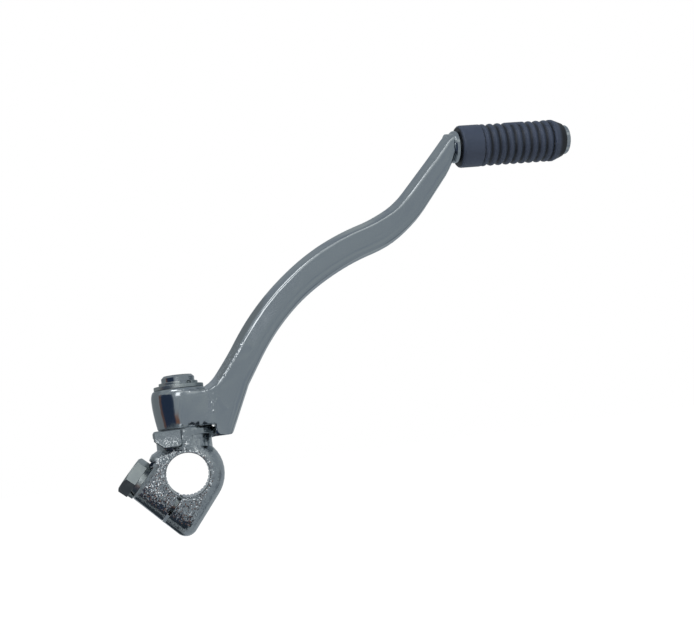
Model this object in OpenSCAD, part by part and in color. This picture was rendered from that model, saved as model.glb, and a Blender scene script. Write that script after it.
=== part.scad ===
// Folding kick start lever for a small motorbike.
// A forged boss clamps on the kick shaft. Its upright pin carries the lever arm,
// which folds outwards about the pin and is held at each end by a sprung ball.
// Origin: centre of the shaft bore. +Y runs along the bore to the engine, +Z along the pin.

/* [Shaft bore] */
// Diameter over the tips of the serrations
bore_d = 16; // [13:0.5:18]
// Length of the bore along the shaft
bore_len = 22; // [18:1:28]
// Number of serrations round the bore
serration_count = 36; // [24:1:40]
// Depth of each serration
serration_depth = 0.45; // [0.3:0.05:0.7]

/* [Clamp boss] */
// Wall between the bore and the round side of the boss
boss_wall = 5.7; // [5:0.1:8]
// Metal outside the pinch bolt's hole, down to the lower flank
ear_wall = 4.2; // [3.5:0.1:6]
// Angle of the pinch bolt below level
clamp_tilt = 41; // [36:1:46]
// Distance from the bore's axis to the seat under the bolt's washer
seat_reach = 11.7; // [11:0.1:14]
// Distance from the bore's axis to the threaded ear's outer flank
flank_reach = 14.3; // [14:0.1:17]
// Width of the clamping slit
slit_w = 1.3; // [1:0.1:2.5]
// Sideways offset of the slit from the bore's axis
slit_offset = 2.4; // [0:0.1:3]
// How far the round side runs in between the middle and the faces
side_draft = 4.6; // [3:0.1:5]
// How far the two ears run in between the middle and the faces
ear_draft = 2.6; // [1.5:0.1:3]

/* [Neck and pin] */
// Metal between the bore's axis and the top of the neck, beyond the boss
neck_rise = 3.4; // [3:0.1:6]
// Diameter of the neck's flange, under the lever's hub
neck_d = 22.8; // [21.6:0.1:24]
// Diameter of the waist below the flange
waist_d = 20.6; // [19:0.1:21]
// Height of the flange's rim
flange_h = 3; // [2:0.1:4]
// Diameter of the pivot pin
pin_d = 12.4; // [11:0.1:13]
// Length of the pin that stands above the retaining ring
pin_end = 2.6; // [1.5:0.1:4]
// Bevel on the pin's end
pin_bevel = 0.9; // [0.4:0.1:1.5]
// Depth of the ring's groove in the pin
groove_depth = 0.9; // [0.6:0.1:1.2]
// Radial clearance of the lever on the pin
pin_play = 0.06; // [0.03:0.01:0.09]

/* [Fold stops] */
// Angle through which the lever folds outwards
fold_angle = 54; // [46:1:56]
// Height of the stop pads
pad_h = 6.3; // [5:0.1:7]
// How far the front stop pad reaches out from the pin's axis
pad_reach = 15.2; // [14.8:0.1:17]
// Width of the front stop pad
pad_w = 9.6; // [8:0.1:11]
// Length of the back stop pad along the lug
back_pad_len = 4; // [3:0.1:5]
// Thickness of the back stop pad
back_pad_t = 3.6; // [3:0.1:4]

/* [Pinch bolt] */
// Shank diameter of the pinch bolt, at the pitch line of its thread
bolt_d = 7.2; // [6:0.1:8]
// Width of the hexagon head across its flats
bolt_af = 13; // [11:0.5:14]
// Height of the head
bolt_head_h = 4.5; // [4:0.1:6]
// Thickness of the split lock washer
lock_washer_h = 1.9; // [1.2:0.1:2.2]
// Diameter of the lock washer
lock_washer_d = 13.6; // [13:0.1:14.6]
// Turn of the tightened head about its axis
head_turn = 17; // [0:1:60]

/* [Hub] */
// Height of the lever's hub
hub_h = 14.7; // [13:0.1:18]
// Greatest diameter of the barrel shaped hub
hub_d = 21.2; // [20.4:0.1:23]
// Diameter of the hub at its lower face
hub_foot_d = 18.6; // [17.6:0.1:20]
// Diameter of the flat on top of the hub
hub_top_d = 18.8; // [17:0.1:19.4]
// Gap between the hub and the faces above and below it
hub_play = 0.1; // [0.05:0.05:0.3]
// Diameter of the thrust washer
washer_d = 18.6; // [17:0.1:19]
// Thickness of the thrust washer
washer_h = 1.4; // [1:0.1:2]
// Outer diameter of the retaining ring
ring_d = 14.6; // [14:0.1:16]
// Thickness of the retaining ring
ring_h = 1.2; // [0.8:0.1:1.5]
// Opening of the retaining ring, as an angle
ring_gap = 34; // [20:1:60]

/* [Arm] */
// Start of the arm's centre line, sideways from the pin's axis
arm_start = 14.2; // [13:0.1:16]
// Rise of that start above the hub's lower face
arm_lift = 5.7; // [5:0.1:7]
// Slope of the straight root section
root_slope = 57.5; // [55:0.5:62]
// Length of the straight root section
root_len = 24.4; // [20:0.1:32]
// Radius of the long lower bend
low_bend_r = 95; // [80:1:110]
// Slope between the two bends
mid_slope = 17.2; // [14:0.1:22]
// Radius of the upper, reversed bend
high_bend_r = 49.6; // [42:0.1:60]
// Slope of the straight upper section
top_slope = 48.4; // [44:0.1:54]
// Length of the straight upper section
top_len = 28.4; // [20:0.1:40]
// Width of the arm's root
arm_w_root = 15.4; // [14:0.1:17]
// Spread of the arm's lower edge towards the lug, for each millimetre
root_spread = 0.14; // [0.1:0.01:0.16]
// Width of the arm's lower half
arm_w = 12.6; // [11.5:0.1:14]
// Width of the arm at its upper end
arm_w_top = 10.4; // [9.5:0.1:12]
// Thickness of the arm's root, along the bore
root_t = 19.6; // [18:0.1:20.4]
// Thickness of the arm beyond its root
arm_t = 12.4; // [11:0.1:14]
// Thickness of the arm at its upper end
arm_t_top = 11.4; // [10:0.1:12.4]
// Swelling of each side of the arm between the two bends
mid_swell = 0.35; // [0:0.05:0.5]
// Width of the drafted band on the arm's upper side
draft_band = 2.8; // [1.5:0.1:3]
// Width of the flat band on the arm's lower side
face_band = 3.3; // [2:0.1:3.6]
// Drop of that band for each millimetre of its width
face_slope = 0.3; // [0.1:0.02:0.4]
// Rounding of the arm's long edges
edge_round = 1.1; // [0.5:0.1:1.4]

/* [Lug] */
// How far the stop lug hangs below the hub
lug_drop = 4.5; // [3.5:0.1:5]
// Thickness of the lug, along the bore
lug_t = 16.4; // [14:0.1:17]
// Width of the lug's lower edge
lug_w = 5.4; // [4:0.1:5.8]

/* [Foot peg] */
// Diameter of the peg under its rubber
peg_d = 11; // [9:0.1:12]
// Diameter of the collar at the peg's root
collar_d = 13.2; // [12.6:0.1:14]
// Thickness of the collar
collar_h = 1.6; // [1:0.1:3]
// Diameter of the domed end that holds the rubber on
head_d = 12.2; // [12.2:0.1:13.5]
// Length of that end
head_h = 2.6; // [2.4:0.1:5]
// Height of its dome
head_dome = 1.3; // [0.5:0.1:2]

/* [Peg rubber] */
// Length of the rubber sleeve
rubber_len = 46.4; // [40:0.1:60]
// Outer diameter of the rubber
rubber_d = 17.4; // [16:0.1:22]
// Length of the plain band at the inner end
band_len = 9.2; // [6:0.1:12]
// Number of raised rings
rib_count = 9; // [5:1:9]
// Distance from ring to ring
rib_pitch = 3.45; // [2.6:0.05:3.6]
// Depth of the grooves between the rings
rib_depth = 0.9; // [0.5:0.1:1.2]
// Length of the tapered outer end
taper_len = 4.6; // [3:0.1:5.5]
// Diameter of the tapered end
taper_d = 14; // [13.6:0.1:15]
// Width of the plain pad across the rings
plain_pad_w = 5; // [3:0.1:7]

/* [Detent] */
// Diameter of the steel ball
ball_d = 4; // [3.4:0.1:4.2]
// How far the ball sinks into the neck's groove
ball_sink = 0.9; // [0.6:0.1:1.1]
// Distance from the neck's edge inwards to the ball
ball_inset = 2.2; // [2:0.05:2.4]
// Radial clearance round the ball
ball_play = 0.1; // [0.05:0.05:0.15]
// Length of the fitted spring
spring_len = 6; // [4.5:0.1:8]
// Wire diameter of the spring
wire_d = 0.5; // [0.4:0.05:0.6]
// Number of turns of the spring
spring_turns = 6; // [4:1:7]

/* [Hidden] */

chrome = "#a9b0b4";
zinc = "#8f979b";
black_rubber = "#2f3543";

// Clearances between pieces that meet but don't slide in each other
seat_gap = 0.02;
stop_gap = 0.3;
rubber_gap = 0.3;
bolt_gap = 0.1;

// Fine steps for true curves, coarser ones inside hulls
round_fn = 96;
hull_fn = 40;

// Boss, in the clamp's own directions: u runs along the bolt, v from the bore to the bolt
bore_r = bore_d / 2;
boss_r = bore_r + boss_wall;
half_len = bore_len / 2;
bolt_v = bore_r + bolt_d / 2 + bolt_gap;
ear_v = bolt_v + bolt_d / 2 + ear_wall;
corner_r = 4.5;
seat_corner_r = 1.5;
shoulder_r = 1.5;
shoulder_u = -(seat_reach + 1.9);
shoulder_v = 1.6;
flank_lean = 1.5;
flat_half = 2;

// Bore: bevel at its mouths, half width of a serration, and the sector left without any,
// because the bolt's hole passes close to the bore there
mouth_bevel = 0.3;
tooth_half = PI * bore_r / serration_count * 0.6;
bare_sector = 24;

// Pinch bolt: across its corners, and the milled flat under its washer
bolt_corners = bolt_af / cos(30);
seat_half = bolt_corners / 2 + 0.6;
seat_fillet = 1.6;
hole_play = 0.4;

// Web that brings the neck forward, flush with the boss
web_r = 8.6;
web_x = 1.4;
web_y = 2.2;
web_foot = 4;

// Heights along the pin
neck_top = boss_r + neck_rise;
hub_z = neck_top + hub_play;
hub_top = hub_z + hub_h;
washer_z = hub_top + hub_play;
ring_z = washer_z + washer_h + seat_gap;
pin_top = ring_z + ring_h + pin_end;
pin_r = pin_d / 2;
hub_bore_r = pin_r + pin_play;
groove_r = pin_r - groove_depth;
groove_play = 0.1;

// Lug and stop pads
lug_x = neck_d / 2 + 0.45;
lug_z = hub_z - lug_drop;
lug_half = lug_t / 2;
pad_top = neck_top - 0.5;
pad_z = pad_top - pad_h;
stop_x = -0.7;
lug_bevel_len = 3.6;
lug_bevel_h = 1.6;
lug_bevel_in = 1;
back_pad_root = 7;

// Arm: places where its centre line changes from straight to bend
arm_x0 = arm_start;
arm_z0 = hub_z + arm_lift;
turn = 180 / PI;
low_bend_len = (root_slope - mid_slope) / turn * low_bend_r;
high_bend_len = (top_slope - mid_slope) / turn * high_bend_r;
s1 = root_len;
s2 = s1 + low_bend_len;
s3 = s2 + high_bend_len;
arm_len = s3 + top_len;
function dir(a) = [cos(a), sin(a)];
function left(a) = [-sin(a), cos(a)];
p0 = [arm_x0, arm_z0];
p1 = p0 + root_len * dir(root_slope);
c1 = p1 - low_bend_r * left(root_slope);
p2 = c1 + low_bend_r * left(mid_slope);
c2 = p2 + high_bend_r * left(mid_slope);
p3 = c2 - high_bend_r * left(top_slope);

// Slope and point of the centre line at a distance s along it
function slope_at(s) =
    s < s1 ? root_slope :
    s < s2 ? root_slope - (s - s1) / low_bend_r * turn :
    s < s3 ? mid_slope + (s - s2) / high_bend_r * turn : top_slope;
function centre_at(s) =
    s < s1 ? p0 + s * dir(root_slope) :
    s < s2 ? c1 + low_bend_r * left(slope_at(s)) :
    s < s3 ? c2 - high_bend_r * left(slope_at(s)) : p3 + (s - s3) * dir(top_slope);

// Foot peg: level, from the end of the centre line
peg_base = centre_at(arm_len);
peg_z = peg_base[1];
collar_x = peg_base[0] + 1.2;
rubber_x = collar_x + collar_h + rubber_gap;
head_x = rubber_x + rubber_len + rubber_gap;

// Sections of the arm
long_steps = 46;
root_merge_x = 11;
root_step = 1.1;
root_flare = 9.5;
root_flare_len = 14;
root_bend_x = 12;
thin_x = 30;
tip_len = 5.4;
tip_power = 0.6;
tip_lean = 1.4;
tip_lean_len = 12;
function ease(t) = let (k = max(0, min(1, t))) k * k * (3 - 2 * k);
function mix(a, b, t) = a + (b - a) * t;
foot_s = -10.5;
spread_len = 13;
edge_band = 0.9;
function swell(s) = mid_swell * ease((s - s1 - 26) / 25) * (1 - ease((s - s2 - 7) / 12));
function half_w(s) = swell(s) +
    (s < s1 ? mix(arm_w_root, arm_w, ease(s / s1)) : mix(arm_w, arm_w_top, ease((s - s2) / (arm_len - s2)))) / 2;
function flare(s) = root_flare * pow(max(0, 1 - s / root_flare_len), 4);
function lean(s) = tip_lean * ease((s - arm_len + tip_lean_len) / tip_lean_len);
function upper_w(s) = s < 0 ? mix(half_w(0), 1, s / foot_s) : half_w(s) + flare(s);
function lower_w(s) = s < s1 ? arm_w / 2 + root_spread * max(0, spread_len - s) : half_w(s) - lean(s);
function half_t(x, s) =
    mix(arm_t, root_t, pow(max(0, min(1, (thin_x - x) / (thin_x - root_bend_x))), 1.6)) / 2
    - (arm_t - arm_t_top) / 2 * ease(s / arm_len);

// Corner b of a polygon, with neighbours a and c, cut back by r and rounded
corner_steps = 3;
function unit(v) = v / norm(v);
function rounded(a, b, c, r) =
    let (k = min(r, 0.45 * norm(a - b), 0.45 * norm(c - b)),
        from = b + k * unit(a - b), to = b + k * unit(c - b))
    [for (i = [0:corner_steps]) let (t = i / corner_steps)
        (1 - t) * (1 - t) * from + 2 * t * (1 - t) * b + t * t * to];

// One section of the arm, as points across it and through it; k shrinks it at the tip
function section(s, k) =
    let (l = upper_w(s) * k, r = lower_w(s) * k, d = draft_band * k,
        t = half_t(centre_at(s)[0], s) * (0.55 + 0.45 * k),
        band = face_band * mix(0.6, 1, ease((s - foot_s) / 24)),
        near = edge_band * k, far = near + band * k, low = t - face_slope * band * k,
        q = [[-r, 0], [near - r, -low], [far - r, -t], [l - d, -t], [l, 0],
            [l - d, t], [far - r, t], [near - r, low]])
    [for (i = [0:7]) each rounded(q[(i + 7) % 8], q[i], q[(i + 1) % 8], edge_round * k)];
function arm_point(s, p) =
    let (c = centre_at(s) + p[0] * left(slope_at(s)),
        t = half_t(c[0], s) / half_t(centre_at(s)[0], s))
    [c[0], p[1] * t, c[1]];

// Detent
ball_r = ball_d / 2;
ball_reach = neck_d / 2 - ball_inset;
ball_z = neck_top + ball_r - ball_sink;
pocket_r = ball_r + ball_play;
end_pocket_r = pocket_r + 0.12;
coil_r = ball_r - wire_d / 2 - 0.15;
spring_z = ball_z + sqrt(pow(ball_r + wire_d / 2, 2) - coil_r * coil_r) + seat_gap;
pocket_top = spring_z + spring_len + wire_d / 2 + seat_gap;

// Skins a list of rings, each a list of points, into a closed solid
module skin(rings) {
    n = len(rings[0]);
    m = len(rings);
    points = [for (r = rings) each r];
    sides = [for (j = [0:m - 2], i = [0:n - 1])
        let (a = j * n + i, b = j * n + (i + 1) % n)
        each [[a, b + n, a + n], [a, b, b + n]]];
    caps = [[for (i = [n - 1:-1:0]) i], [for (i = [0:n - 1]) (m - 1) * n + i]];
    polyhedron(points, concat(sides, caps), convexity = 6);
}

// Places children drawn along +Z so that they run along +Y or +X
module along_y() {
    rotate([-90, 0, 0]) children();
}

module along_x() {
    rotate([0, 90, 0]) children();
}

// Places children in the clamp's directions: their x is u, their z is v, their y stays
module clamp_frame() {
    rotate([0, clamp_tilt, 0]) mirror([0, 0, 1]) children();
}

// Places children drawn along +Z on the pinch bolt's axis, running from the head inwards
module bolt_axis(u) {
    clamp_frame() translate([u, 0, bolt_v]) along_x() children();
}

// One corner post of the boss: full size at the middle, drawn in towards both faces
module boss_post(u, v, r, draft, slide_u, slide_v) {
    for (side = [-1, 1], a = [0:15:90]) {
        in = draft * (1 - cos(a));
        share = 1 - cos(a);
        y = flat_half + (half_len - flat_half) * sin(a);
        clamp_frame()
            translate([u + slide_u * share, side * y, v + slide_v * share])
                along_y() cylinder(r = max(r - in, 0.5), h = 0.01, center = true, $fn = hull_fn);
    }
}

module boss_body() {
    hull() {
        boss_post(0, 0, boss_r, side_draft, 0, 0);
        boss_post(flank_reach - corner_r, ear_v - corner_r, corner_r, ear_draft, -0.6, -1.6);
        boss_post(-seat_reach + seat_corner_r - 0.6, ear_v - seat_corner_r - flank_lean,
            seat_corner_r, 0.6, 0.6, -2.4);
        boss_post(shoulder_u, shoulder_v, shoulder_r, 0.6, 2.4, 0.8);
    }
}

// Neck, flange and pivot pin, turned about one axis, with the seam clear of the ball track
module neck_and_pin() {
    rotate([0, 0, 150]) rotate_extrude($fn = round_fn)
        polygon([
            [0, 0],
            [waist_d / 2, 0],
            [waist_d / 2, neck_top - flange_h - 1.6],
            [neck_d / 2 - 0.5, neck_top - flange_h],
            [neck_d / 2, neck_top - flange_h + 0.6],
            [neck_d / 2, neck_top - 0.8],
            [neck_d / 2 - 0.6, neck_top],
            [pin_r, neck_top],
            [pin_r, ring_z - groove_play],
            [groove_r, ring_z - groove_play],
            [groove_r, ring_z + ring_h + groove_play],
            [pin_r, ring_z + ring_h + groove_play],
            [pin_r, pin_top - pin_bevel],
            [pin_r - pin_bevel, pin_top],
            [0, pin_top],
        ]);
}

// Web under the flange, as deep as the boss
module neck_web() {
    hull()
        for (side = [-1, 1])
            translate([web_x, side * web_y, web_foot])
                cylinder(r = web_r, h = neck_top - flange_h - web_foot, $fn = round_fn);
}

// Front stop pad: a flat topped block whose right hand side stops the lug
module front_pad() {
    pad_bevel = 0.5;
    hull() {
        translate([0, 0.01 - pad_reach, 0])
            rotate([90, 0, 0])
                linear_extrude(0.01)
                    pad_outline(pad_bevel);
        translate([0, -pin_r, 0])
            rotate([90, 0, 0])
                linear_extrude(pad_reach - pin_r - pad_bevel - 0.1)
                    pad_outline(0);
    }
}

module pad_outline(in) {
    right = stop_x - in;
    foot = pad_z + in;
    polygon([
        [right, pad_top - in], [right, foot + 1.2], [right - 0.35, foot + 0.35], [right - 1.2, foot],
        [stop_x - pad_w * 0.68, foot], [stop_x - pad_w - 0.4 + in, pad_z + pad_h * 0.48],
        [stop_x - pad_w - 0.4 + in, pad_top - in],
    ]);
}

// Back stop pad: it backs the lug while the lever is folded in
module back_pad() {
    hull() {
        translate([lug_x - back_pad_root, lug_half + stop_gap, lug_z + 0.6])
            cube([back_pad_root + back_pad_len, back_pad_t, pad_top - lug_z - 0.6]);
        translate([lug_x - back_pad_root, lug_half + stop_gap, lug_z - 0.4])
            cube([back_pad_root - 2.5, back_pad_t, pad_top - lug_z]);
    }
}

// Serrated bore, with a small bevel at each mouth
module serrated_bore() {
    along_y() cylinder(d = bore_d, h = bore_len + 2, center = true, $fn = round_fn);
    tooth = 360 / serration_count;
    for (i = [0:serration_count - 1])
        if (abs(i * tooth - clamp_tilt - 90) > bare_sector)
            rotate([0, i * tooth, 0])
                along_y()
                linear_extrude(bore_len + 2, center = true)
                    polygon([
                        [bore_r - 0.3, -tooth_half],
                        [bore_r + serration_depth, 0],
                        [bore_r - 0.3, tooth_half],
                    ]);
    for (side = [-1, 1])
        mirror([0, side > 0 ? 0 : 1, 0])
            translate([0, half_len - mouth_bevel, 0])
                along_y()
                    cylinder(r1 = bore_r - 0.1, r2 = bore_r + mouth_bevel, h = mouth_bevel + 0.1,
                        $fn = round_fn);
}

module crank_boss() {
    color(chrome)
        difference() {
            union() {
                boss_body();
                neck_and_pin();
                neck_web();
                front_pad();
                back_pad();
            }
            serrated_bore();
            // Clamping slit, from the bore down through the ears
            clamp_frame()
                translate([slit_offset - slit_w / 2, -half_len - 1, 0])
                    cube([slit_w, bore_len + 2, ear_v + 2]);
            // Milled flat for the washer and the head, with a fillet up to the shoulder
            clamp_frame()
                along_y()
                    linear_extrude(bore_len + 2, center = true)
                        seat_cut();
            // Clearance hole through the near ear, tapping hole through the far ear
            bolt_axis(-seat_reach - 1)
                cylinder(d = bolt_d + hole_play, h = seat_reach + 1 + slit_offset, $fn = round_fn);
            bolt_axis(0)
                cylinder(d = bolt_d + 2 * seat_gap, h = flank_reach + 2, $fn = round_fn);
            // Ball track in the neck's top face
            rotate([0, 0, -fold_angle])
                rotate_extrude(angle = fold_angle, $fn = round_fn)
                    translate([ball_reach, ball_z]) circle(r = pocket_r, $fn = round_fn);
            // A rounder pocket at each end of it, where the ball drops in
            for (a = [0, -fold_angle])
                rotate([0, 0, a])
                    translate([ball_reach, 0, ball_z])
                        rotate([0, 0, 45])
                            sphere(r = end_pocket_r, $fn = round_fn);
        }
}

// Outline of the seat's cut, with x as u and y as minus v
module seat_cut() {
    top = bolt_v - seat_half;
    polygon(concat(
        [[-seat_reach, -ear_v - 4]],
        [for (a = [0:15:90])
            [-seat_reach - seat_fillet * (1 - cos(a)), -top - seat_fillet * (1 - sin(a))]],
        [[-seat_reach - 14, -top], [-seat_reach - 14, -ear_v - 4]]));
}

module pinch_bolt() {
    head_u = -seat_reach - lock_washer_h - 2 * seat_gap;
    shank_len = -head_u + flank_reach - 2;
    color(zinc)
        union() {
            // Hexagon head with its corners turned off
            intersection() {
                bolt_axis(head_u - bolt_head_h)
                    rotate([0, 0, head_turn])
                        cylinder(d = bolt_corners, h = bolt_head_h, $fn = 6);
                bolt_axis(head_u - bolt_head_h)
                    rotate_extrude($fn = round_fn)
                        polygon([
                            [0, 0], [bolt_af / 2 - 0.2, 0], [bolt_corners / 2 + 0.1, 0.8],
                            [bolt_corners / 2 + 0.1, bolt_head_h], [0, bolt_head_h],
                        ]);
            }
            // Shank, with a pointed end
            bolt_axis(head_u - 0.5)
                rotate_extrude($fn = round_fn)
                    polygon([
                        [0, 0], [bolt_d / 2, 0], [bolt_d / 2, shank_len - 0.5],
                        [bolt_d / 2 - 1, shank_len + 0.5], [0, shank_len + 0.5],
                    ]);
        }
}

module lock_washer() {
    split_turn = -130;
    split_w = 0.9;
    split_lean = 25;
    color(zinc)
        bolt_axis(-seat_reach - lock_washer_h - seat_gap)
            difference() {
                cylinder(d = lock_washer_d, h = lock_washer_h, $fn = round_fn);
                translate([0, 0, -1])
                    cylinder(d = bolt_d + hole_play, h = lock_washer_h + 2, $fn = round_fn);
                // The split that makes it spring
                rotate([0, 0, split_turn])
                    translate([0, -split_w / 2, -1])
                        rotate([split_lean, 0, 0])
                            cube([lock_washer_d, split_w, lock_washer_h + 3]);
            }
}

// Barrel shaped hub with a rounded top edge
bulge_z = hub_z + hub_h * 0.78;
function hub_r(z) =
    z < bulge_z ? mix(hub_foot_d, hub_d, sin(90 * max(0, z - hub_z - 0.3) / (bulge_z - hub_z - 0.3))) / 2 :
    mix(hub_top_d, hub_d, sqrt(max(0, 1 - pow((z - bulge_z) / (hub_top - bulge_z), 2)))) / 2;

module hub_body() {
    bulge_steps = 8;
    rotate_extrude($fn = round_fn)
        polygon(concat(
            [[0, hub_z], [hub_foot_d / 2 - 0.3, hub_z]],
            [for (i = [0:bulge_steps]) let (z = mix(hub_z + 0.3, bulge_z, i / bulge_steps)) [hub_r(z), z]],
            [for (a = [15:15:90]) let (z = mix(bulge_z, hub_top, sin(a))) [hub_r(z), z]],
            [[0, hub_top]]));
}

// Half the root's thickness: the barrel's at the hub's axis, the arm's own further out
function root_half(x, z) =
    x < root_merge_x ? mix(hub_r(z) - 0.12, half_t(x, 0), ease(x / root_merge_x)) : half_t(x, 0);

// Ring of the root across x, from one height to another, front side up and back side down
function root_ring(x, low, high) =
    let (edge = 0.5, zs = concat([low, low + edge], [for (i = [1:6]) mix(low + edge, high - edge, i / 6)], [high]),
        n = len(zs) - 1,
        y = [for (i = [0:n]) root_half(x, zs[i]) - (i == 0 || i == n ? edge : 0)])
    concat([for (i = [0:n]) [x, -y[i], zs[i]]], [for (i = [n:-1:0]) [x, y[i], zs[i]]]);

// Root of the arm: it grows out of the hub and runs flat into the arm's faces
module root_body() {
    end_x = root_bend_x + 5 * root_step;
    knee = hub_top - 2.6;
    skin([for (x = concat([for (i = [0:10]) root_merge_x * i / 10], [for (i = [0:5]) root_bend_x + root_step * i]))
        root_ring(x, hub_z + (x > end_x - 0.1 ? 2 : 0),
            x < root_bend_x ? mix(hub_top - 0.6, knee, x / root_bend_x) :
                mix(knee, hub_z + 4, (x - root_bend_x) / (arm_x0 + 4.2 - root_bend_x)))]);
}

// S shaped arm: one forged section carried along the centre line, down into the lug
module arm_body() {
    foot_rings = [for (s = [foot_s:1.9:0]) section_ring(s, 1)];
    root_rings = [for (s = [1:1.5:13]) section_ring(s, 1)];
    long_rings = [for (i = [0:long_steps]) section_ring(mix(root_flare_len, arm_len, i / long_steps), 1)];
    tip_rings = [for (a = [10:10:90])
        section_ring(arm_len + tip_len * sin(a), max(0.12, pow(cos(a), tip_power)))];
    difference() {
        intersection() {
            skin(concat(foot_rings, root_rings, long_rings, tip_rings));
            translate([0, -hub_d, 0])
                cube([collar_x + collar_h * 0.55, 2 * hub_d, peg_z + arm_w]);
        }
        // Outline of the lug
        rotate([90, 0, 0])
            linear_extrude(2 * hub_d, center = true)
                polygon([
                    [-5, hub_z + 0.7], [lug_x, hub_z + 0.7], [lug_x, lug_z],
                    [lug_x + lug_w, lug_z], [lug_x + lug_w + 0.6, lug_z + 0.15],
                    [lug_x + lug_w + 1.2, lug_z + 0.6], [lug_x + lug_w + 1.7, lug_z + 1.4],
                    [lug_x + 20, lug_z + 1.4], [lug_x + 20, 0], [-5, 0],
                ]);
        // The lug's back runs past the back stop pad
        translate([lug_x - 2, lug_half, lug_z - 6])
            cube([20, 10, hub_z - lug_z + 6.2]);
    }
}
function section_ring(s, k) = [for (p = section(s, k)) arm_point(s, p)];

// Round peg with its collar and the domed end that keeps the rubber on
module peg_body() {
    translate([0, 0, peg_z])
        along_x()
            rotate_extrude($fn = round_fn)
                polygon(concat(
                    [[0, peg_base[0] - 2], [peg_d / 2, peg_base[0] - 2], [peg_d / 2, collar_x - 0.6],
                        [collar_d / 2 - 0.4, collar_x - 0.6], [collar_d / 2, collar_x],
                        [collar_d / 2, collar_x + collar_h - 0.4],
                        [collar_d / 2 - 0.4, collar_x + collar_h], [peg_d / 2, collar_x + collar_h],
                        [peg_d / 2, head_x], [head_d / 2, head_x]],
                    [for (a = [0:15:90])
                        [head_d / 2 * cos(a), head_x + head_h - head_dome + head_dome * sin(a)]]));
}

module lever_arm() {
    color(chrome)
        difference() {
            union() {
                hub_body();
                root_body();
                arm_body();
                peg_body();
            }
            translate([0, 0, hub_z - 1])
                cylinder(r = hub_bore_r, h = hub_h + 2, $fn = round_fn);
            // Clears the washer and the ring
            translate([0, 0, hub_top])
                cylinder(d = washer_d + 1.2, h = pin_top - hub_top, $fn = round_fn);
            // Corner of the lug that comes to rest on the front stop pad
            rotate([0, 0, fold_angle])
                translate([stop_x + stop_gap - 2 * hub_d, -2 * hub_d, lug_z - 1])
                    cube([2 * hub_d, 2 * hub_d, hub_z - lug_z + 1]);
            // Ground bevel on the lug's lower edge
            translate([lug_x - 1, -half_t(lug_x, 0), lug_z])
                rotate([90, 0, 90])
                    linear_extrude(lug_bevel_len + 1)
                        polygon([[-1, lug_bevel_h], [-1, -1], [lug_bevel_in, -1], [lug_bevel_in, 0],
                            [0, lug_bevel_h]]);
            // Blind hole for the spring and the ball
            translate([ball_reach, 0, hub_z - 1])
                cylinder(r = pocket_r, h = pocket_top - hub_z + 1, $fn = round_fn);
        }
}

// Sleeve with raised rings, plain bands and a tapered outer end
module peg_rubber() {
    outer_r = rubber_d / 2;
    rib_steps = 8;
    pad_shift = 2.6;
    ribs_end = band_len + rib_count * rib_pitch;
    inner_r = peg_d / 2 + seat_gap;
    color(black_rubber)
        translate([rubber_x, 0, peg_z])
            along_x()
                difference() {
                    union() {
                        rotate_extrude($fn = round_fn)
                            polygon(concat(
                                [[0, 0], [outer_r - 1.3, 0]],
                                [for (a = [-60:30:0]) [outer_r - 1.3 + 1.3 * cos(a), 1.3 + 1.3 * sin(a)]],
                                [[outer_r, band_len]],
                                [for (i = [0:rib_count - 1], j = [1:rib_steps])
                                    let (t = j / rib_steps)
                                    [outer_r - rib_depth * pow(abs(cos(180 * t)), 2.4),
                                        band_len + (i + t) * rib_pitch]],
                                [[outer_r, min(ribs_end + 0.5, rubber_len - taper_len)],
                                    [outer_r, rubber_len - taper_len],
                                    [taper_d / 2, rubber_len - 0.4],
                                    [taper_d / 2 - 0.4, rubber_len], [0, rubber_len]]));
                        // Plain pad that bridges the rings on the upper side
                        intersection() {
                            translate([0, 0, band_len + 3.5 * rib_pitch])
                                cylinder(r = outer_r, h = 2.2 * rib_pitch, $fn = round_fn);
                            translate([-outer_r - 1, -plain_pad_w / 2 - pad_shift, band_len])
                                cube([outer_r, plain_pad_w, rubber_len - band_len]);
                        }
                    }
                    translate([0, 0, -1])
                        cylinder(r = inner_r, h = rubber_len + 2, $fn = round_fn);
                }
}

module thrust_washer() {
    color(zinc)
        translate([0, 0, washer_z])
            difference() {
                cylinder(d = washer_d, h = washer_h, $fn = round_fn);
                translate([0, 0, -1])
                    cylinder(r = pin_r + 0.15, h = washer_h + 2, $fn = round_fn);
            }
}

module retaining_ring() {
    color(zinc)
        translate([0, 0, ring_z])
            rotate([0, 0, -66 + ring_gap / 2])
                rotate_extrude(angle = 360 - ring_gap, $fn = round_fn)
                    translate([groove_r + seat_gap, 0])
                        square([ring_d / 2 - groove_r - seat_gap, ring_h]);
}

module detent_ball() {
    color(zinc)
        translate([ball_reach, 0, ball_z])
            sphere(r = ball_r, $fn = round_fn);
}

// Compression spring, wound as a helix between the ball and the end of its hole
module detent_spring() {
    steps = 14;
    sides = 6;
    total = spring_turns * steps;
    rings = [for (i = [0:total]) let (a = 360 * i / steps, z = spring_z + spring_len * i / total)
        [for (j = [0:sides - 1]) let (b = 360 * j / sides)
            [ball_reach + (coil_r + wire_d / 2 * cos(b)) * cos(a),
                (coil_r + wire_d / 2 * cos(b)) * sin(a), z + wire_d / 2 * sin(b)]]];
    color(zinc) skin(rings);
}

crank_boss();
pinch_bolt();
lock_washer();
lever_arm();
peg_rubber();
thrust_washer();
retaining_ring();
detent_ball();
detent_spring();
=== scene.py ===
# Folding kick start lever for a small motorbike, dressed over its fixed frame.
# Everything is in metres: +Y runs along the shaft bore to the engine, +Z along the pivot pin.
import math

import bpy
from mathutils import Matrix, Vector


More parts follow.
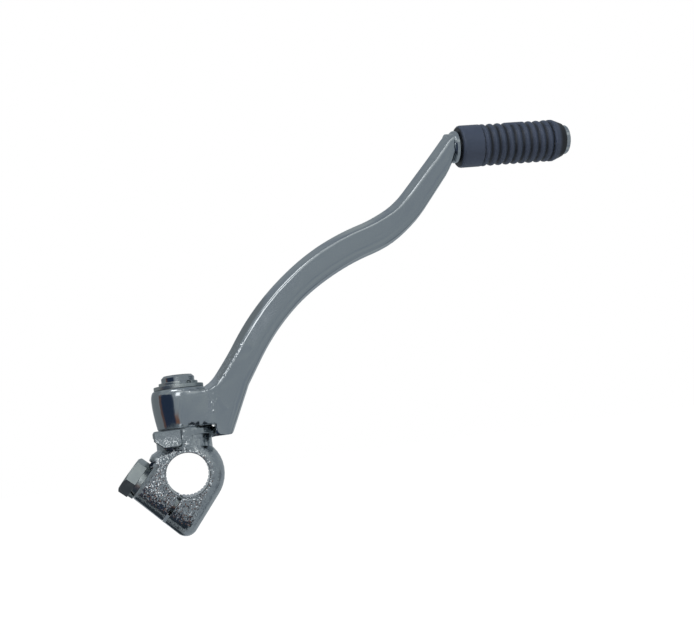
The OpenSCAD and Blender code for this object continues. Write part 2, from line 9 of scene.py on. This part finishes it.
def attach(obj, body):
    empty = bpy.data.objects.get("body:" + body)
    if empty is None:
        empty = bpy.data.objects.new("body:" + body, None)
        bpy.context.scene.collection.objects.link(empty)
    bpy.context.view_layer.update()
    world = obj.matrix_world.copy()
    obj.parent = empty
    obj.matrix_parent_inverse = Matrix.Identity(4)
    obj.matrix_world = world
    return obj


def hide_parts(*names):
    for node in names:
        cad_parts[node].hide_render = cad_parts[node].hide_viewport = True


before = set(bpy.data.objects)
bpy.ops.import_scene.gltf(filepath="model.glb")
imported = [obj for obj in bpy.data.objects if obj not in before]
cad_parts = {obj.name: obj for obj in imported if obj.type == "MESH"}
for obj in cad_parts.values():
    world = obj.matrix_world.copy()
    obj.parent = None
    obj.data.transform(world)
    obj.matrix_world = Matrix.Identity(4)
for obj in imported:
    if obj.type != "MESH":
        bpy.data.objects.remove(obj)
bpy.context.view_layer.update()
MM = 0.001

# Camera
# It stands about 35 cm in front of the clamp, near the bore's height, looks a little up
# and to the right, and is rolled clockwise, so that the pin leans to the left.
camera_place = Vector((-1.8, -347.1, 10.4)) * MM
camera_yaw = 11.37
camera_pitch = 6.78
camera_roll = -7.36
frame_width_px = 694
focal_px = 900
sensor_width = 36

camera_data = bpy.data.cameras.new("camera")
camera = bpy.data.objects.new("camera", camera_data)
bpy.context.scene.collection.objects.link(camera)
bpy.context.scene.camera = camera
camera_data.sensor_fit = "HORIZONTAL"
camera_data.sensor_width = sensor_width
camera_data.lens = sensor_width * focal_px / frame_width_px
camera_data.clip_start = 10 * MM
camera_data.clip_end = 20
camera.matrix_world = (
    Matrix.Translation(camera_place)
    @ Matrix.Rotation(math.radians(-camera_yaw), 4, "Z")
    @ Matrix.Rotation(math.radians(90 + camera_pitch), 4, "X")
    @ Matrix.Rotation(math.radians(camera_roll), 4, "Z")
)

# Crank boss
# One steel forging with the split clamp, the neck, the stop pads and the pivot pin. Its flat
# faces keep the sandy skin of the forging under the chromium, its sides were ground smooth.


def linear(hex_colour):
    """Turns an sRGB hex colour into the linear values that shaders take."""
    parts = [int(hex_colour[i : i + 2], 16) / 255 for i in (1, 3, 5)]
    values = [c / 12.92 if c <= 0.04045 else ((c + 0.055) / 1.055) ** 2.4 for c in parts]
    return (*values, 1)


def put(tree, kind, settings=None, links=None):
    """Adds one node, with its settings by name or input number, and its links by input."""
    node = tree.nodes.new(kind)
    for name, value in (settings or {}).items():
        if isinstance(name, int) or name in node.inputs:
            node.inputs[name].default_value = value
        else:
            setattr(node, name, value)
    for name, source in (links or {}).items():
        tree.links.new(source, node.inputs[name])
    return node


def new_material(name):
    """Makes an empty node material with its output and Object coordinates."""
    material = bpy.data.materials.new(name)
    material.use_nodes = True
    tree = material.node_tree
    tree.nodes.clear()
    output = put(tree, "ShaderNodeOutputMaterial")
    place = put(tree, "ShaderNodeTexCoord").outputs["Object"]
    return material, tree, output, place


def deselect_all():
    """Leaves object mode with nothing selected."""
    if bpy.context.object and bpy.context.object.mode != "OBJECT":
        bpy.ops.object.mode_set(mode="OBJECT")
    bpy.ops.object.select_all(action="DESELECT")


def select_only(piece):
    """Makes one object the selected and active one."""
    deselect_all()
    piece.select_set(True)
    bpy.context.view_layer.objects.active = piece


def merged_copy(node, name):
    """Copies a CAD node's triangles into a new piece and joins them into one skin."""
    same_point = 0.002 * MM
    same_plane = math.radians(0.5)
    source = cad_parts[node]
    piece = bpy.data.objects.new(name, source.data.copy())
    bpy.context.scene.collection.objects.link(piece)
    piece.data.materials.clear()
    select_only(piece)
    bpy.ops.object.mode_set(mode="EDIT")
    bpy.ops.mesh.select_all(action="SELECT")
    bpy.ops.mesh.remove_doubles(threshold=same_point)
    bpy.ops.mesh.dissolve_limited(angle_limit=same_plane, delimit={"NORMAL"})
    bpy.ops.object.mode_set(mode="OBJECT")
    return piece


def finish_edges(piece, smooth_angle):
    """Shades a piece smoothly up to an angle in degrees, with its large faces kept flat."""
    large_face_weight = 60
    select_only(piece)
    bpy.ops.object.shade_smooth_by_angle(angle=math.radians(smooth_angle))
    normals = piece.modifiers.new("flat_faces", "WEIGHTED_NORMAL")
    normals.mode = "FACE_AREA"
    normals.weight = large_face_weight
    normals.keep_sharp = True
    bpy.ops.object.modifier_apply(modifier=normals.name)


def facets(tree, place, size, share):
    """Tilts the surface at random, cell by cell, where the share is above zero."""
    cells = put(tree, "ShaderNodeTexVoronoi", {"Scale": 1 / size}, {"Vector": place})
    centred = put(tree, "ShaderNodeVectorMath", {"operation": "SUBTRACT", 1: (0.5, 0.5, 0.5)},
                  {0: cells.outputs["Color"]}).outputs[0]
    tilt = put(tree, "ShaderNodeVectorMath", {"operation": "SCALE"},
               {0: centred, "Scale": share}).outputs[0]
    face = put(tree, "ShaderNodeNewGeometry").outputs["Normal"]
    leaning = put(tree, "ShaderNodeVectorMath", {"operation": "ADD"},
                  {0: face, 1: tilt}).outputs[0]
    return put(tree, "ShaderNodeVectorMath", {"operation": "NORMALIZE"}, {0: leaning}).outputs[0]


def boss_chrome():
    """Bright chromium over a forged skin: sandy on the faces, smoother on the sides.

    The grit is a third of a millimetre, so it glitters; the plating fills it on the sides.
    The forged faces are slightly crowned, and dip at the ears' end, so they mirror the dark
    side of the room there.
    """
    grit = 0.34 * MM
    grit_tilt = 0.44
    pit = 1.5 * MM
    pit_depth = 0.12 * MM
    patch = 5 * MM
    patch_reach = 2.4 * MM
    ground_depth = 10.3 * MM
    forged_depth = 11.5 * MM
    sandy_top = 12.8 * MM
    smooth_from = 15.0 * MM
    ear_depth = 11.9 * MM
    pad_depth = 12.3 * MM
    ears_end = (-0.656, 0, -0.755)
    dip_start = 11.5 * MM
    dip_end = 16.5 * MM
    dip_tilt = 0.36
    crown_per_metre = (5, 0, 6)
    material, tree, output, place = new_material("chromium_on_forged_skin")

    # The sandy share fades in patches towards the sides, up the neck and on the raised pads
    parts = put(tree, "ShaderNodeSeparateXYZ", links={0: place}).outputs
    depth = put(tree, "ShaderNodeMath", {"operation": "ABSOLUTE"}, {0: parts["Y"]}).outputs[0]
    patches = put(tree, "ShaderNodeTexNoise", {"Scale": 1 / patch, "Detail": 3},
                  {"Vector": place}).outputs[0]
    shifted = put(tree, "ShaderNodeMath", {"operation": "MULTIPLY_ADD", 1: patch_reach},
                  {0: patches, 2: depth}).outputs[0]
    face = put(tree, "ShaderNodeMapRange", {"From Min": ground_depth,
               "From Max": forged_depth, "To Min": 0.05}, {"Value": shifted}).outputs[0]
    below = put(tree, "ShaderNodeMapRange", {"From Min": smooth_from, "From Max": sandy_top,
                "To Min": 0.3}, {"Value": parts["Z"]}).outputs[0]
    raised = put(tree, "ShaderNodeMapRange", {"From Min": ear_depth, "From Max": pad_depth,
                 "To Min": 1.0, "To Max": 0.35}, {"Value": depth}).outputs[0]
    masks = put(tree, "ShaderNodeMath", {"operation": "MULTIPLY"}, {0: face, 1: below}).outputs[0]
    sandy = put(tree, "ShaderNodeMath", {"operation": "MULTIPLY"},
                {0: masks, 1: raised}).outputs[0]

    # Each grain leans its own way, and the whole face leans with the crown and the dip
    share = put(tree, "ShaderNodeMath", {"operation": "MULTIPLY", 1: grit_tilt},
                {0: sandy}).outputs[0]
    grainy = facets(tree, place, grit, share)
    along_ears = put(tree, "ShaderNodeVectorMath", {"operation": "DOT_PRODUCT", 1: ears_end},
                     {0: place}).outputs["Value"]
    dip = put(tree, "ShaderNodeMapRange", {"From Min": dip_start, "From Max": dip_end,
              "To Max": dip_tilt}, {"Value": along_ears}).outputs[0]
    dipped = put(tree, "ShaderNodeVectorMath", {"operation": "SCALE", 0: ears_end},
                 {"Scale": dip}).outputs[0]
    slope = put(tree, "ShaderNodeVectorMath", {"operation": "MULTIPLY_ADD", 1: crown_per_metre},
                {0: place, 2: dipped}).outputs[0]
    crown = put(tree, "ShaderNodeVectorMath", {"operation": "SCALE"},
                {0: slope, "Scale": sandy}).outputs[0]
    leaning = put(tree, "ShaderNodeVectorMath", {"operation": "ADD"},
                  {0: grainy, 1: crown}).outputs[0]

    # Shallow pits, which tint the plating a little, and a duller finish where it is sandy
    pits = put(tree, "ShaderNodeTexNoise", {"Scale": 1 / pit, "Detail": 2},
               {"Vector": place}).outputs[0]
    scaled = put(tree, "ShaderNodeMath", {"operation": "MULTIPLY"},
                 {0: pits, 1: sandy}).outputs[0]
    bump = put(tree, "ShaderNodeBump", {"Strength": 0.8, "Distance": pit_depth},
               {"Height": scaled, "Normal": leaning}).outputs[0]
    rough = put(tree, "ShaderNodeMapRange", {"From Min": 0.1, "To Min": 0.14, "To Max": 0.2},
                {"Value": sandy}).outputs[0]
    tint = put(tree, "ShaderNodeMix", {"data_type": "RGBA", 6: linear("#a8aeb2"),
               7: linear("#c2c7c9")}, {0: pits}).outputs[2]
    shader = put(tree, "ShaderNodeBsdfPrincipled", {"Metallic": 1.0},
                 {"Base Color": tint, "Roughness": rough, "Normal": bump})
    tree.links.new(shader.outputs[0], output.inputs[0])
    return material


def shape(piece, tool, operation):
    """Joins a tool to a piece, or cuts it away, and clears the tool off."""
    select_only(piece)
    change = piece.modifiers.new("shape", "BOOLEAN")
    change.operation = operation
    change.object = tool
    bpy.ops.object.modifier_apply(modifier=change.name)
    bpy.data.objects.remove(tool)


clamp_turn = Matrix.Rotation(math.radians(41), 4, "Y")


def clamp_box(centre, size, turn=Matrix.Identity(4)):
    """Makes a box in the clamp's own frame: X crosses the slit, and Z runs up it to the bore."""
    deselect_all()
    bpy.ops.mesh.primitive_cube_add(size=1)
    box = bpy.context.object
    box.matrix_world = (Matrix.Translation(clamp_turn @ centre) @ clamp_turn @ turn
                        @ Matrix.Diagonal((*size, 1)))
    return box


boss = merged_copy("crank_boss", "boss_forging")

# The forging's web fills the neck's front up to the flange's rim
web_centre = Vector((-0.6, -4, 12.7)) * MM
web_axes = (8.8 * MM, 7.3 * MM, 7.6 * MM)
deselect_all()
bpy.ops.mesh.primitive_cylinder_add(vertices=96, radius=1, depth=1)
web = bpy.context.object
web.matrix_world = Matrix.Translation(web_centre) @ Matrix.Diagonal((*web_axes, 1))
shape(boss, web, "UNION")

# The serrations stop just behind the front mouth, and the slit runs on through that lip
bore_radius = 8 * MM
lip_inset = 0.02 * MM
lip_depth = 1.1 * MM
lip_wall = 1.1 * MM
lip_front = Vector((0, -10.7, 0)) * MM
deselect_all()
bpy.ops.mesh.primitive_cylinder_add(
    vertices=96, radius=bore_radius - lip_inset, depth=lip_depth, end_fill_type="NOTHING",
    location=lip_front + Vector((0, lip_depth / 2, 0)), rotation=(math.radians(90), 0, 0))
lip = bpy.context.object
wall = lip.modifiers.new("wall", "SOLIDIFY")
wall.thickness = lip_wall
wall.offset = 1
bpy.ops.object.modifier_apply(modifier=wall.name)
shape(boss, lip, "UNION")
slit = clamp_box(Vector((2.4, -10, -7.5)) * MM, Vector((1.3, 4, 5)) * MM)
shape(boss, slit, "DIFFERENCE")

# The slit steps narrower past the bolt, and the shoulder over the seat reaches to the head
slit_step = ((2.75, 8.2, -13.3), (1.0, 4.4, 11))
slit_foot = ((2.7, 3.2, -17.4), (1.3, 14.4, 3.0))
shoulder = ((-12.5, -0.5, -3.6), (2.2, 17, 3.0))
for centre, size in (slit_step, slit_foot, shoulder):
    filling = clamp_box(Vector(centre) * MM, Vector(size) * MM)
    shape(boss, filling, "UNION")

# The ear's front edge is broken beside the bolt's seat
seat_corner = Vector((-11.7, -11, -14)) * MM
outwards = Vector((-0.7071, -0.7071, 0))
cutter_offset = 1.9
cutter = clamp_box(seat_corner + outwards * cutter_offset * MM, Vector((6, 6, 22)) * MM,
                   Matrix.Rotation(math.radians(45), 4, "Z"))
shape(boss, cutter, "DIFFERENCE")
finish_edges(boss, 32)
boss.data.materials.append(boss_chrome())
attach(boss, "boss")
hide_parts("crank_boss")

# Pinch bolt and lock washer
# A hexagon bolt with a split spring washer closes the clamp. Both are zinc plated steel, dull
# beside the chromium, and most of the bolt's shank is hidden in the ears.


def zinc_plate():
    """Zinc plated steel: an even, slightly cloudy grey with faint drawing marks.

    The marks are drawn a third of a millimetre wide, coarser than real, so that they show.
    """
    cloud = 2.2 * MM
    mark = 0.35 * MM
    mark_depth = 0.03 * MM
    material, tree, output, place = new_material("zinc_plated_steel")
    clouds = put(tree, "ShaderNodeTexNoise", {"Scale": 1 / cloud, "Detail": 4},
                 {"Vector": place}).outputs[0]
    marks = put(tree, "ShaderNodeTexNoise", {"Scale": 1 / mark, "Detail": 2},
                {"Vector": place}).outputs[0]
    tint = put(tree, "ShaderNodeMix", {"data_type": "RGBA", 6: linear("#b2b9ba"),
               7: linear("#c9cfcd")}, {0: clouds}).outputs[2]
    rough = put(tree, "ShaderNodeMapRange", {"To Min": 0.26, "To Max": 0.42},
                {"Value": clouds}).outputs[0]
    bump = put(tree, "ShaderNodeBump", {"Strength": 0.35, "Distance": mark_depth},
               {"Height": marks}).outputs[0]
    shader = put(tree, "ShaderNodeBsdfPrincipled", {"Metallic": 1.0},
                 {"Base Color": tint, "Roughness": rough, "Normal": bump})
    tree.links.new(shader.outputs[0], output.inputs[0])
    return material


zinc = zinc_plate()


def plated_part(node, edge):
    """Dresses one small part of the boss in zinc, with its sharp edges broken by a width."""
    sharp_above = math.radians(38)
    piece = merged_copy(node, node + "_plated")
    bevel = piece.modifiers.new("broken_edges", "BEVEL")
    bevel.width = edge
    bevel.segments = 2
    bevel.limit_method = "ANGLE"
    bevel.angle_limit = sharp_above
    bpy.ops.object.modifier_apply(modifier=bevel.name)
    finish_edges(piece, 40)
    piece.data.materials.append(zinc)
    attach(piece, "boss")
    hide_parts(node)


plated_part("pinch_bolt", 0.12 * MM)
plated_part("lock_washer", 0.15 * MM)

# Lever arm
# The hub, flat root, stop lug, S shaped arm and round foot peg are one steel forging, ground
# along its faces and chromium plated, so the light runs along its edges in long lines.


def near_line(tree, x, z, start, end, width):
    """A mask that is one on a line across the arm's face and fades out at a width from it.

    The line's ends are X and Z in millimetres, and so is its width.
    """
    run = Vector(end) - Vector(start)
    along = run.normalized()
    middle_x = (start[0] + end[0]) / 2 * MM
    middle_z = (start[1] + end[1]) / 2 * MM
    dx = put(tree, "ShaderNodeMath", {"operation": "SUBTRACT", 1: middle_x}, {0: x}).outputs[0]
    dz = put(tree, "ShaderNodeMath", {"operation": "SUBTRACT", 1: middle_z}, {0: z}).outputs[0]
    pair = put(tree, "ShaderNodeCombineXYZ", links={0: dx, 2: dz}).outputs[0]
    measures = []
    for axis, reach in (((along[0], 0, along[1]), run.length / 2), ((along[1], 0, -along[0]), 0)):
        shadow = put(tree, "ShaderNodeVectorMath", {"operation": "DOT_PRODUCT", 1: axis},
                     {0: pair}).outputs["Value"]
        off = put(tree, "ShaderNodeMath", {"operation": "ABSOLUTE"}, {0: shadow}).outputs[0]
        measures.append(put(tree, "ShaderNodeMapRange", {"From Min": (reach + width) * MM,
                        "From Max": reach * MM}, {"Value": off}).outputs[0])
    return put(tree, "ShaderNodeMath", {"operation": "MULTIPLY"},
               {0: measures[0], 1: measures[1]}).outputs[0]


def arm_chrome():
    """Bright chromium over ground steel: soft long ripples, and grit left at the bends.

    The grinding wheel didn't reach into the corners, so the forging's grit still glitters there.
    """
    ripple = 9 * MM
    ripple_depth = 0.35 * MM
    grit = 0.4 * MM
    patch = 1.4 * MM
    root_bend = ((13.5, 31), (24, 46), 2.2)
    hub_corner = ((12.2, 22), (12.6, 30), 1.6)
    lug_edge = ((11.8, 13.2), (15.6, 13.8), 0.9)
    hub_edge = ((1, 30.7), (11, 29.8), 0.8)
    material, tree, output, place = new_material("chromium_on_ground_steel")
    parts = put(tree, "ShaderNodeSeparateXYZ", links={0: place}).outputs
    corners = near_line(tree, parts["X"], parts["Z"], *root_bend)
    for line in (hub_corner, lug_edge, hub_edge):
        mask = near_line(tree, parts["X"], parts["Z"], *line)
        corners = put(tree, "ShaderNodeMath", {"operation": "MAXIMUM"},
                      {0: corners, 1: mask}).outputs[0]
    patches = put(tree, "ShaderNodeTexNoise", {"Scale": 1 / patch, "Detail": 2},
                  {"Vector": place}).outputs[0]
    thinned = put(tree, "ShaderNodeMapRange", {"From Min": 0.42, "From Max": 0.66},
                  {"Value": patches}).outputs[0]
    share = put(tree, "ShaderNodeMath", {"operation": "MULTIPLY"},
                {0: corners, 1: thinned}).outputs[0]
    leaning = facets(tree, place, grit, share)
    ripples = put(tree, "ShaderNodeTexNoise", {"Scale": 1 / ripple, "Detail": 2,
                  "Roughness": 0.4}, {"Vector": place}).outputs[0]
    bump = put(tree, "ShaderNodeBump", {"Strength": 0.5, "Distance": ripple_depth},
               {"Height": ripples, "Normal": leaning}).outputs[0]
    rough = put(tree, "ShaderNodeMapRange", {"To Min": 0.1, "To Max": 0.18},
                {"Value": ripples}).outputs[0]
    shader = put(tree, "ShaderNodeBsdfPrincipled",
                 {"Metallic": 1.0, "Base Color": linear("#b6bcc0")},
                 {"Roughness": rough, "Normal": bump})
    tree.links.new(shader.outputs[0], output.inputs[0])
    return material


lever = merged_copy("lever_arm", "lever_forging")
finish_edges(lever, 30)
lever.data.materials.append(arm_chrome())
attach(lever, "lever")
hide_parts("lever_arm")

# Detent ball and spring
# A hardened ball and a wound wire spring sit in a blind hole under the lever's root. They
# are plain bright steel, and hidden until the lever is lifted off.


def bright_steel():
    """Ground and hardened steel: clean, with a faint straw cast and a fine lapped finish."""
    lap = 0.2 * MM
    material, tree, output, place = new_material("hardened_bright_steel")
    marks = put(tree, "ShaderNodeTexNoise", {"Scale": 1 / lap, "Detail": 2},
                {"Vector": place}).outputs[0]
    rough = put(tree, "ShaderNodeMapRange", {"To Min": 0.14, "To Max": 0.26},
                {"Value": marks}).outputs[0]
    shader = put(tree, "ShaderNodeBsdfPrincipled",
                 {"Metallic": 1.0, "Base Color": linear("#b9b7b2")}, {"Roughness": rough})
    tree.links.new(shader.outputs[0], output.inputs[0])
    return material


steel = bright_steel()
for node in ("detent_ball", "detent_spring"):
    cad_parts[node].data.materials.clear()
    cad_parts[node].data.materials.append(steel)

# Thrust washer and retaining ring
# A stamped flat washer lies on the hub's top, and an open snap ring, sprung into the pin's
# groove above it, holds the lever down on its pin. Both are zinc plated steel.
plated_part("thrust_washer", 0.15 * MM)
plated_part("retaining_ring", 0.15 * MM)

# Peg rubber
# A sleeve with a plain collar and nine raised rings, moulded in black rubber. It is stretched
# over the peg's domed end and stays on by its own grip.


def moulded_rubber():
    """Black rubber from a steel mould: blue black and satin, with a paler bloom in patches, and
    painted shade down in its grooves.

    The peg's axis runs along X, so the distance from it tells a ring from a groove. The grain
    of the mould is drawn half a millimetre wide, coarser than real, so that it shows.
    """
    grain = 0.5 * MM
    grain_depth = 0.04 * MM
    bloom = 6 * MM
    peg_height = 118.87 * MM
    groove_radius = 7.8 * MM
    ring_radius = 8.4 * MM
    material, tree, output, place = new_material("moulded_black_rubber")
    blooms = put(tree, "ShaderNodeTexNoise", {"Scale": 1 / bloom, "Detail": 4},
                 {"Vector": place}).outputs[0]
    grains = put(tree, "ShaderNodeTexNoise", {"Scale": 1 / grain, "Detail": 3},
                 {"Vector": place}).outputs[0]
    from_axis = put(tree, "ShaderNodeVectorMath", {"operation": "MULTIPLY_ADD", 1: (0, 1, 1),
                    2: (0, 0, -peg_height)}, {0: place}).outputs[0]
    radius = put(tree, "ShaderNodeVectorMath", {"operation": "LENGTH"},
                 {0: from_axis}).outputs["Value"]
    # Painted shade: from each ring's top down into the groove the colour darkens to near black
    ring = put(tree, "ShaderNodeMapRange", {"From Min": groove_radius, "From Max": ring_radius},
               {"Value": radius}).outputs[0]
    rubber_bloom_tone = put(tree, "ShaderNodeMix", {"data_type": "RGBA", 6: linear("#2d3849"),
                7: linear("#414a5e")}, {0: blooms}).outputs[2]
    # The near black is the painted groove shade; the rings keep the rubber's own tone with its
    # bloom
    tint = put(tree, "ShaderNodeMix", {"data_type": "RGBA", 6: linear("#10151d")},
               {0: ring, 7: rubber_bloom_tone}).outputs[2]
    rough = put(tree, "ShaderNodeMapRange", {"To Min": 0.36, "To Max": 0.52},
                {"Value": blooms}).outputs[0]
    bump = put(tree, "ShaderNodeBump", {"Strength": 0.3, "Distance": grain_depth},
               {"Height": grains}).outputs[0]
    shader = put(tree, "ShaderNodeBsdfPrincipled", {"IOR": 1.52},
                 {"Base Color": tint, "Roughness": rough, "Normal": bump})
    tree.links.new(shader.outputs[0], output.inputs[0])
    return material


rubber = merged_copy("peg_rubber", "peg_rubber_moulded")
finish_edges(rubber, 35)
rubber.data.materials.append(moulded_rubber())
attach(rubber, "lever")
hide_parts("peg_rubber")

# Studio
# A pale floor well below the part, a small soft box high on its left, and a grey tent with a
# few cards, which show in reflections alone, as the dim room round the camera.


def pale_paper():
    """Matt white paper: nearly white where it is lit, and it keeps a faint shadow."""
    fibre = 25 * MM
    glow_strength = 1.15
    glow_share = 0.8
    material, tree, output, place = new_material("pale_paper")
    fibres = put(tree, "ShaderNodeTexNoise", {"Scale": 1 / fibre, "Detail": 3},
                 {"Vector": place}).outputs[0]
    tint = put(tree, "ShaderNodeMix", {"data_type": "RGBA", 6: linear("#f1f1f1"),
               7: linear("#f6f6f6")}, {0: fibres}).outputs[2]
    paper = put(tree, "ShaderNodeBsdfDiffuse", links={"Color": tint}).outputs[0]
    glow = put(tree, "ShaderNodeEmission", {"Strength": glow_strength}).outputs[0]
    path = put(tree, "ShaderNodeLightPath").outputs
    shown = put(tree, "ShaderNodeMath", {"operation": "MAXIMUM"},
                {0: path["Is Camera Ray"], 1: path["Is Transmission Ray"]}).outputs[0]
    share = put(tree, "ShaderNodeMath", {"operation": "MULTIPLY", 1: glow_share},
                {0: shown}).outputs[0]
    mixed = put(tree, "ShaderNodeMixShader", links={0: share, 1: paper, 2: glow})
    tree.links.new(mixed.outputs[0], output.inputs[0])
    return material


floor_drop = 120 * MM
floor_size = 8
deselect_all()
bpy.ops.mesh.primitive_plane_add(size=floor_size, location=(0, 0, -floor_drop))
floor = bpy.context.object
floor.name = "floor"
floor.data.materials.append(pale_paper())
floor.visible_glossy = False


def folded_cloth(tree, place, ridge_colour, fold_colour):
    """Colours of hanging cloth, in long folds that run the same way as the lever's arm."""
    across = Vector((-0.66, 0, 0.75)) / 0.09
    along = Vector((0.75, 0, 0.66)) / 0.9
    lengths = []
    for axis in (across, along):
        lengths.append(put(tree, "ShaderNodeVectorMath", {"operation": "DOT_PRODUCT", 1: axis},
                           {0: place}).outputs["Value"])
    stretched = put(tree, "ShaderNodeCombineXYZ", links={0: lengths[0], 1: lengths[1]})
    folds = put(tree, "ShaderNodeTexNoise", {"Scale": 1, "Detail": 2},
                {"Vector": stretched.outputs[0]}).outputs[0]
    sharp = put(tree, "ShaderNodeMapRange", {"From Min": 0.35, "From Max": 0.65},
                {"Value": folds}).outputs[0]
    return put(tree, "ShaderNodeMix", {"data_type": "RGBA", 6: linear(fold_colour),
               7: linear(ridge_colour)}, {0: sharp}).outputs[2]


def metal_only(thing, name, colour, strength, fold_colour=None):
    """Makes a stage object glow, seen by nothing but reflections, in one colour or in folds."""
    material, tree, output, place = new_material(name)
    glow = put(tree, "ShaderNodeEmission", {"Color": linear(colour), "Strength": strength})
    if fold_colour:
        cloth = folded_cloth(tree, place, colour, fold_colour)
        tree.links.new(cloth, glow.inputs["Color"])
    tree.links.new(glow.outputs[0], output.inputs[0])
    thing.name = name
    thing.data.materials.append(material)
    thing.visible_camera = False
    thing.visible_diffuse = False
    thing.visible_shadow = False
    thing.visible_transmission = False


def card(name, colour, strength, azimuth, elevation, width, height):
    """Stands a card in the tent. Its place and size are angles in degrees, seen from the part."""
    reach = 0.9
    part_middle = Vector((40, 0, 40)) * MM
    a = math.radians(azimuth)
    e = math.radians(elevation)
    away = Vector((math.sin(a) * math.cos(e), -math.cos(a) * math.cos(e), math.sin(e)))
    deselect_all()
    bpy.ops.mesh.primitive_plane_add(size=1, location=part_middle + away * reach)
    panel = bpy.context.object
    panel.scale = (2 * reach * math.tan(math.radians(width / 2)),
                   2 * reach * math.tan(math.radians(height / 2)), 1)
    panel.rotation_euler = away.to_track_quat("Z", "Y").to_euler()
    metal_only(panel, name, colour, strength)


tent_radius = 2.4
deselect_all()
bpy.ops.mesh.primitive_uv_sphere_add(segments=48, ring_count=24, radius=tent_radius,
                                     location=(0, 0, 0))
metal_only(bpy.context.object, "grey_tent", "#afb6b6", 1.0, "#88919e")

# Dim things on the left, which the hub's barrel and the clamp's lower faces mirror
card("navy_curtain", "#2e3b50", 1.0, -55, -12, 52, 62)
card("dark_mat", "#2f373f", 1.0, -46, -54, 78, 44)
card("brown_post", "#6b544e", 1.0, -86, -12, 12, 60)
card("side_wall", "#858b8e", 1.0, -125, -5, 62, 96)
card("warm_floor", "#8a6250", 1.0, -22, -22, 16, 16)

# A window before the hub, and two shades low behind the part, for the ears' end and the neck
card("window", "#ffffff", 2.0, -8, 16, 18, 18)
card("back_mat", "#343b42", 1.0, -148, -31, 34, 20)
card("neck_shade", "#757d83", 1.0, 112, -24, 20, 40)

# Bright boxes overhead, which draw the long lines along the arm's upper edge
card("ceiling_box", "#ffffff", 1.3, -8, 44, 42, 7)
card("lamp_box", "#ffffff", 2.6, -31, 50, 20, 16)
card("silver_screen", "#c9cfd0", 1.0, 28, 30, 60, 16)

# The one lamp lights the rubber and the floor, and the cards do its work in the metal
lamp_place = Vector((-0.35, -0.62, 0.85))
lamp_target = Vector((0.07, 0, 0.06))
lamp_data = bpy.data.lights.new("high_left_box", "AREA")
lamp_data.shape = "SQUARE"
lamp_data.size = 0.3
lamp_data.energy = 6
lamp = bpy.data.objects.new("high_left_box", lamp_data)
bpy.context.scene.collection.objects.link(lamp)
lamp.location = lamp_place
lamp.rotation_euler = (lamp_target - lamp_place).to_track_quat("-Z", "Y").to_euler()
lamp.visible_glossy = False

# The world is white where it is seen straight, and dimmer as a light on rubber and floor
room_light = 0.6
world = bpy.data.worlds.new("studio")
bpy.context.scene.world = world
world.use_nodes = True
sky = world.node_tree
sky.nodes.clear()
sky_output = put(sky, "ShaderNodeOutputWorld")
ray = put(sky, "ShaderNodeLightPath").outputs
direct = put(sky, "ShaderNodeMath", {"operation": "MAXIMUM"},
             {0: ray["Is Camera Ray"], 1: ray["Is Glossy Ray"]}).outputs[0]
plain = put(sky, "ShaderNodeMath", {"operation": "MAXIMUM"},
            {0: direct, 1: ray["Is Transmission Ray"]}).outputs[0]
level = put(sky, "ShaderNodeMapRange", {"To Min": room_light}, {"Value": plain}).outputs[0]
backdrop = put(sky, "ShaderNodeBackground", {"Color": linear("#ffffff")}, {"Strength": level})
sky.links.new(backdrop.outputs[0], sky_output.inputs[0])

bpy.context.scene.view_settings.view_transform = "Standard"
